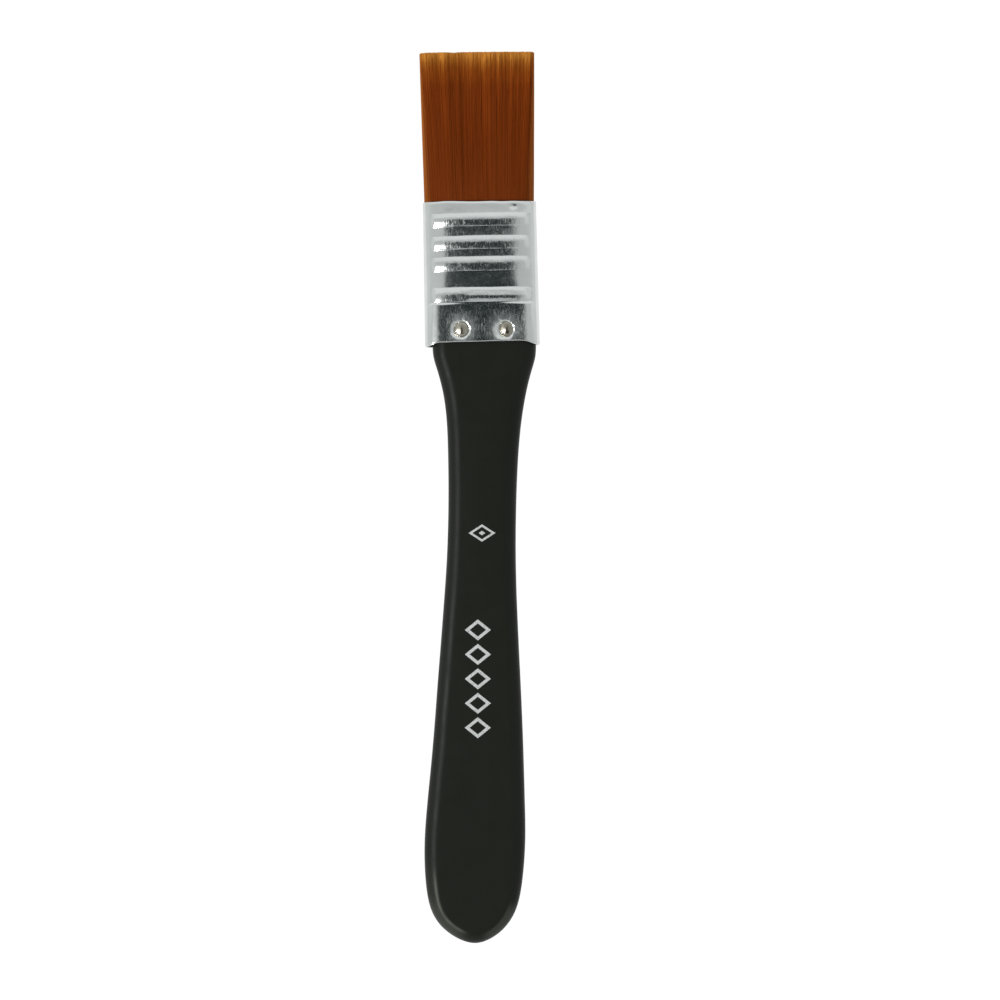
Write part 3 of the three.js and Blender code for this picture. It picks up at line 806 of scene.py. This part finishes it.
def filaments():
    rng = np.random.default_rng(20)
    total = 9700
    sides = 5
    stops = np.array([-2.2, -0.3, 1.2, 2.6, 4.0, 5.3, 6.5, 7.7, 8.9, 10.3, 14.0, 20.0, 26.0, 30.6])    # from the mouth
    along = len(stops) + 1
    pts = []
    while len(pts) < total:
        c = rng.uniform(-1, 1, (total * 3, 2))
        r = (np.abs(c[:, 0]) ** 2.4 + np.abs(c[:, 1]) ** 2.4) ** (1 / 2.4)
        keep = (r < 1) & ((r > 0.84) | (rng.uniform(0, 1, len(r)) < 0.58))
        pts = c[keep][:total]
        if len(pts) < total:
            total = len(pts)
    th = np.linspace(0, 2 * math.pi, 6001)
    ring24 = np.stack([np.sign(np.cos(th)) * np.abs(np.cos(th)) ** (2 / 2.4), np.sign(np.sin(th)) * np.abs(np.sin(th)) ** (2 / 2.4)], -1)
    gone = np.r_[0, np.cumsum(np.hypot(*(np.diff(ring24, axis=0) * [TW0, TT0]).T))]
    skin = []
    for depth_, gap_ in ((0.988, 0.125), (0.955, 0.14), (0.92, 0.16)):
        count = int(gone[-1] / gap_)
        at = (np.arange(count) + rng.uniform(-0.22, 0.22, count)) / count % 1.0 * gone[-1]
        skin.append(np.stack([np.interp(at, gone, ring24[:, 0]), np.interp(at, gone, ring24[:, 1])], -1) * (depth_ + rng.uniform(-0.006, 0.006, (count, 1))))
    skin = np.concatenate(skin)
    uv = np.concatenate([skin, pts[:total - len(skin)]])
    r24 = (np.abs(uv[:, 0]) ** 2.4 + np.abs(uv[:, 1]) ** 2.4) ** (1 / 2.4)
    r4 = (np.abs(uv[:, 0]) ** 4 + np.abs(uv[:, 1]) ** 4) ** (1 / 4)
    tip = uv * (r24 / np.maximum(r4, 1e-6))[:, None]
    # clumps: strands gather about centres spread across the tuft
    bounds = [-1.0]
    while bounds[-1] < 1:
        bounds.append(bounds[-1] + rng.uniform(0.05, 0.17))
    bounds = np.array(bounds)
    which = np.clip(np.searchsorted(bounds, uv[:, 0] + rng.normal(0, 0.008, total)) - 1, 0, len(bounds) - 2)
    mid = (bounds[which] + bounds[which + 1]) / 2
    pull = rng.uniform(0.02, 0.13, len(bounds))[which]
    tone = rng.uniform(-1, 1, len(bounds))[which] * 0.6 + noise2(uv[:, 0] * 9 + 5, uv[:, 1] * 1.5, 41) * 0.4
    tip_x = tip[:, 0] + (mid - tip[:, 0]) * pull * 0.55 * (np.abs(tip[:, 0]) < 0.97)
    lift = 0.05 * noise2(uv[:, 0] * 7 + 2, uv[:, 1] * 2, 42)
    t = np.r_[(stops + 2.2) / (TUFT + 2.2), 1.0]
    y0 = MOUTH - 2.2
    length = TUFT + 2.2 + rng.normal(0, 0.05, total) - np.where(rng.uniform(0, 1, total) < 0.06, rng.uniform(0, 1.6, total), 0)
    corner = 0.22 * smooth(0.965, 1.0, np.abs(tip[:, 0])) * rng.uniform(0.3, 1.2, total)
    uneven = 0.05 * noise2(tip[:, 0] * 3.0 + 4, 0.5, 46) + 0.12 * np.exp(-((tip[:, 0] + 0.40) / 0.07) ** 2)
    length = length - corner - uneven - 0.20 - 0.0095 * tip[:, 0] * TW1
    phase, amp = rng.uniform(0, 2 * math.pi, (2, total)), rng.normal(0, 0.035, (2, total))
    rad0 = rng.uniform(0.055, 0.070, total)
    strand = rng.uniform(0, 1, total)
    co = np.zeros((total, along, 3))
    ease = smooth(0.0, 1.05, t)
    for k in range(along):
        y = y0 + t[k] * length
        out = np.clip((y - MOUTH) / TUFT, 0, 1)
        e = smooth(0.0, 1.05, out)
        ex_ = 0.9 * out + 0.1 * e
        bell = np.sin(np.pi * np.clip(out, 0, 1) ** 0.8)
        x = (uv[:, 0] * (1 - e) + tip_x * e) * (TW0 + (TW1 - TW0) * ex_) + amp[0] * bell * np.sin(phase[0] + 3 * out)
        z = (uv[:, 1] * TT0) * (1 - e) + tip[:, 1] * TT1 * e + (lift * np.sign(uv[:, 1]) * 0.8 + amp[1]) * bell
        z = z + 0.08 * e * rng.normal(0, 1, total) * 0.4
        x = np.clip(x, -TW0 - (TW1 - TW0) * ex_, TW0 + (TW1 - TW0) * ex_)
        co[:, k] = np.stack([x + tuft_centre(y), y, z], -1)
    taper = np.interp(t, [0, 0.6, 0.85, 1.0], [1.0, 0.96, 0.80, 0.46])
    ang = np.linspace(0, 2 * math.pi, sides, endpoint=False)
    ring = np.stack([1.25 * np.cos(ang), np.zeros(sides), 0.62 * np.sin(ang)], -1)
    body = co[:, :, None, :] + ring[None, None] * (rad0[:, None] * taper[None])[:, :, None, None]
    u = np.clip((co[:, :, 1] - MOUTH) / TUFT, 0, 1)
    # the sides of the tuft, less on the right: where the filament material paints in light shining through the thin
    # edges
    edge = smooth(0.865, 0.99, np.abs(uv[:, 0]) + 0.04 * (strand - 0.5)) * (1 - 0.14 * (uv[:, 0] > 0))
    groups, stands = {}, {}
    for face, sign in (("front", 1), ("back", -1)):
        for part, (u0, u1) in enumerate(((-2, -0.5), (-0.5, 0), (0, 0.5), (0.5, 2))):
            name = "filaments_%s_%d" % (face, part + 1)
            groups[name] = (np.where(uv[:, 1] >= 0, 1, -1) == sign) & (uv[:, 0] >= u0) & (uv[:, 0] < u1)
            stands[name] = ["bristle_belly_" + face, "bristle_root_" + face]
    for name, mask in groups.items():
        b = body[mask]
        m = len(b)
        p = b.reshape(-1, 3)
        tips = co[mask, -1] + np.array([0, 0.06, 0])
        p = np.concatenate([p, tips])
        one = grid_quads(along, sides, True, flip=True)
        quads = (one[None] + (np.arange(m) * along * sides)[:, None, None]).reshape(-1, 4)
        j = np.arange(sides)
        k = (j + 1) % sides
        last = (np.arange(m) * along * sides + (along - 1) * sides)[:, None]
        tipi = (m * along * sides + np.arange(m))[:, None]
        tris = np.stack(np.broadcast_arrays(last + k[None], last + j[None], tipi), -1).reshape(-1, 3)
        low = np.arange(m)[:, None] * along * sides
        cap = (low + j[None, :])
        ob = make_mesh(name, head(p), [quads, tris, cap], FILAMENT)
        spread = lambda v: np.concatenate([np.repeat(v[mask], along * sides), v[mask]])
        attribute(ob, "along", np.concatenate([np.repeat(u[mask].ravel(), sides), u[mask, -1]]))
        attribute(ob, "strand", spread(strand))
        attribute(ob, "clump", spread(tone))
        attribute(ob, "edge", spread(edge))
        bend(ob)
        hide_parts(*stands[name])


def core():
    """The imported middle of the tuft, seen only between the outer strands."""
    ys = np.concatenate([np.linspace(MOUTH - 2.0, MOUTH + TUFT - 3.2, 36)])
    n = 120
    ang = np.linspace(0, 2 * math.pi, n, endpoint=False)
    rows = []
    for i, y in enumerate(ys):
        e = float(smooth(0.0, 1.05, np.clip((y - MOUTH) / TUFT, 0, 1)))
        w = (TW0 + (TW1 - TW0) * e) * 0.975
        t = (TT0 + (TT1 - TT0) * e) * 0.80
        ex = 2.4 + 1.6 * e
        if i in (0, len(ys) - 1):
            w, t = w - 0.3, t - 0.3
        c, s = np.cos(ang), np.sin(ang)
        x = w * np.sign(c) * np.abs(c) ** (2 / ex)
        z = t * np.sign(s) * np.abs(s) ** (2 / ex)
        z = z * (1 + 0.05 * noise2(x * 1.9, np.full(n, np.sign(0.5) * 2.0) + y * 0.02, 43))
        rows.append(np.stack([x + tuft_centre(y), np.full(n, y), z], -1))
    p = np.concatenate(rows)
    quads = grid_quads(len(rows), n, True, flip=True)
    last = (len(rows) - 1) * n
    caps_low, caps_high = np.arange(n)[None], (last + np.arange(n))[None, ::-1]
    ob = make_mesh("tuft_core", head(p), [quads, caps_low, caps_high], DEEP)
    attribute(ob, "along", np.clip((p[:, 1] - MOUTH) / TUFT, 0, 0.6))
    attribute(ob, "strand", 0.5 + 0.5 * noise2(p[:, 0] * 6, p[:, 1] * 0.05, 44))
    attribute(ob, "clump", noise2(p[:, 0] * 2, p[:, 1] * 0.02, 45))
    attribute(ob, "edge", np.zeros(len(p)))
    bend(ob)
    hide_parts("bristle_heel")


def bend(ob):
    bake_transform(ob)


ferrule()
for number, (nail_name, (nx, ny, nf_)) in enumerate(NAILS.items()):
    nail(nail_name, nx, ny, nf_, 3.7 * number + 1.3)
handle()
marks()
core()
filaments()

for node, mat in (("spacer_strip", WOOD), ("resin_plug", RESIN)):
    o = frame["nodes"][node]
    o.data.materials.clear()
    o.data.materials.append(mat)

# ------------------------------------------------------------ stage and light

CX, CY = ORIGIN[0] + (500 - 482.3) * 0.22, ORIGIN[1] + (346 - 500) * 0.22
DIST = 0.62
cam = bpy.data.cameras.new("camera")
cam.lens, cam.sensor_width = 36 * DIST / 0.220, 36
cam.clip_start, cam.clip_end = 0.01, 10
cam_ob = bpy.data.objects.new("camera", cam)
cam_ob.location = (CX * MM, CY * MM, ORIGIN[2] * MM + DIST)
bpy.context.scene.collection.objects.link(cam_ob)
bpy.context.scene.camera = cam_ob


def floor():
    me = bpy.data.meshes.new("floor")
    s, z = 3.0, -0.05
    me.from_pydata([(-s, -s, z), (s, -s, z), (s, s, z), (-s, s, z)], [], [(0, 1, 2, 3)])
    m = bpy.data.materials.new("white_table")
    m.use_nodes = True
    t = m.node_tree
    t.nodes.clear()
    out = t.nodes.new("ShaderNodeOutputMaterial")
    mix = t.nodes.new("ShaderNodeMixShader")
    geo = t.nodes.new("ShaderNodeNewGeometry")
    em = t.nodes.new("ShaderNodeEmission")
    em.inputs["Color"].default_value = (1, 1, 1, 1)
    em.inputs["Strength"].default_value = 1.02
    clear = t.nodes.new("ShaderNodeBsdfTransparent")
    t.links.new(geo.outputs["Backfacing"], mix.inputs[0])
    t.links.new(em.outputs[0], mix.inputs[1])
    t.links.new(clear.outputs[0], mix.inputs[2])
    t.links.new(mix.outputs[0], out.inputs[0])
    me.materials.append(m)
    ob = bpy.data.objects.new("floor", me)
    bpy.context.scene.collection.objects.link(ob)


floor()

world = bpy.data.worlds.new("studio")
bpy.context.scene.world = world
world.use_nodes = True
wt = world.node_tree
wt.nodes.clear()


def wnode(kind, **props):
    n = wt.nodes.new("ShaderNode" + kind)
    for k, v in props.items():
        setattr(n, k, v)
    return n


def wmath(op, a, b=0.0, c=0.0, clamp=False):
    n = wnode("Math", operation=op, use_clamp=clamp)
    for sock, v in zip(n.inputs, (a, b, c)):
        if isinstance(v, bpy.types.NodeSocket):
            wt.links.new(v, sock)
        else:
            sock.default_value = v
    return n.outputs[0]


def wstep(v, a, b):
    n = wnode("MapRange", interpolation_type="SMOOTHSTEP")
    wt.links.new(v, n.inputs["Value"])
    for k, x in (("From Min", a), ("From Max", b), ("To Min", 0.0), ("To Max", 1.0)):
        n.inputs[k].default_value = x
    return n.outputs[0]


def deg(v):
    return math.tan(math.radians(v))


tc = wnode("TexCoord")
sep = wnode("SeparateXYZ")
wt.links.new(tc.outputs["Generated"], sep.inputs[0])
zc = wmath("MAXIMUM", sep.outputs[2], 0.02)
gx = wmath("DIVIDE", sep.outputs[0], zc)          # tangent of the angle to each side
gy = wmath("DIVIDE", sep.outputs[1], zc)
ax = wmath("ABSOLUTE", gx)
side = wstep(ax, deg(30), deg(70))
north = wmath("MULTIPLY", wstep(gy, deg(24.5), deg(31)), wmath("SUBTRACT", 1.0, side))
glow = wmath("ADD", 0.64, wmath("MULTIPLY", side, 0.16))
glow = wmath("ADD", glow, wmath("MULTIPLY", north, 0.30))
bg = wnode("Background")
wt.links.new(glow, bg.inputs["Strength"])
bg.inputs["Color"].default_value = (0.97, 1.0, 0.995, 1)
wout = wnode("OutputWorld")
wt.links.new(bg.outputs[0], wout.inputs[0])


def dark_opening():
    """The dark square hole in the tent's roof that a camera looks through."""
    x0, x1, y0, y1, z, soft, wide = -0.172, 0.154, -0.152, 0.152, 0.376, 0.016, 0.024
    a, b, c, d = x0 - wide, x1 + wide, y0 - soft, y1 + soft
    me = bpy.data.meshes.new("tent_opening")
    me.from_pydata([(a, c, z), (a, d, z), (b, d, z), (b, c, z)], [], [(0, 1, 2, 3)])
    m = bpy.data.materials.new("black_card")
    m.use_nodes = True
    t = m.node_tree
    b = t.nodes["Principled BSDF"]
    b.inputs["Base Color"].default_value = (0.014, 0.022, 0.022, 1)
    b.inputs["Roughness"].default_value = 0.9
    b.inputs["Specular IOR Level"].default_value = 0.1
    clear = t.nodes.new("ShaderNodeBsdfTransparent")
    place = t.nodes.new("ShaderNodeNewGeometry")
    part = t.nodes.new("ShaderNodeSeparateXYZ")
    t.links.new(place.outputs["Position"], part.inputs[0])
    masks = []
    for axis, lo_, hi_ in ((0, x0 - wide, x0 + wide), (0, x1 + wide, x1 - wide), (1, y0 - soft, y0 + soft), (1, y1 + soft, y1 - soft)):
        r = t.nodes.new("ShaderNodeMapRange")
        r.interpolation_type = "SMOOTHSTEP"
        t.links.new(part.outputs[axis], r.inputs["Value"])
        r.inputs["From Min"].default_value = min(lo_, hi_)
        r.inputs["From Max"].default_value = max(lo_, hi_)
        r.inputs["To Min"].default_value = 0.0 if lo_ < hi_ else 1.0
        r.inputs["To Max"].default_value = 1.0 if lo_ < hi_ else 0.0
        masks.append(r.outputs[0])
    whole = masks[0]
    for other in masks[1:]:
        q = t.nodes.new("ShaderNodeMath")
        q.operation = "MULTIPLY"
        t.links.new(whole, q.inputs[0])
        t.links.new(other, q.inputs[1])
        whole = q.outputs[0]
    mix = t.nodes.new("ShaderNodeMixShader")
    t.links.new(whole, mix.inputs[0])
    t.links.new(clear.outputs[0], mix.inputs[1])
    t.links.new(b.outputs[0], mix.inputs[2])
    t.links.new(mix.outputs[0], t.nodes["Material Output"].inputs["Surface"])
    me.materials.append(m)
    ob = bpy.data.objects.new("tent_opening", me)
    ob.visible_camera = False
    bpy.context.scene.collection.objects.link(ob)


dark_opening()


def softbox(name, place, target, size, power, tint=(1, 1, 1)):
    light = bpy.data.lights.new(name, "AREA")
    light.shape = "DISK"
    light.size = size
    light.energy = power
    light.color = tint
    ob = bpy.data.objects.new(name, light)
    ob.location = place
    ob.rotation_mode = "QUATERNION"
    ob.rotation_quaternion = (Vector(target) - Vector(place)).to_track_quat("-Z", "Y")
    ob.visible_camera = False
    bpy.context.scene.collection.objects.link(ob)
    return ob


softbox("key", (-0.325, -0.068, 0.409), (0, 0.0, 0), 0.076, 1.7)

scene = bpy.context.scene
scene.view_settings.view_transform = "Standard"
scene.view_settings.look = "None"
scene.view_settings.exposure = 0.0
scene.view_settings.gamma = 1.0
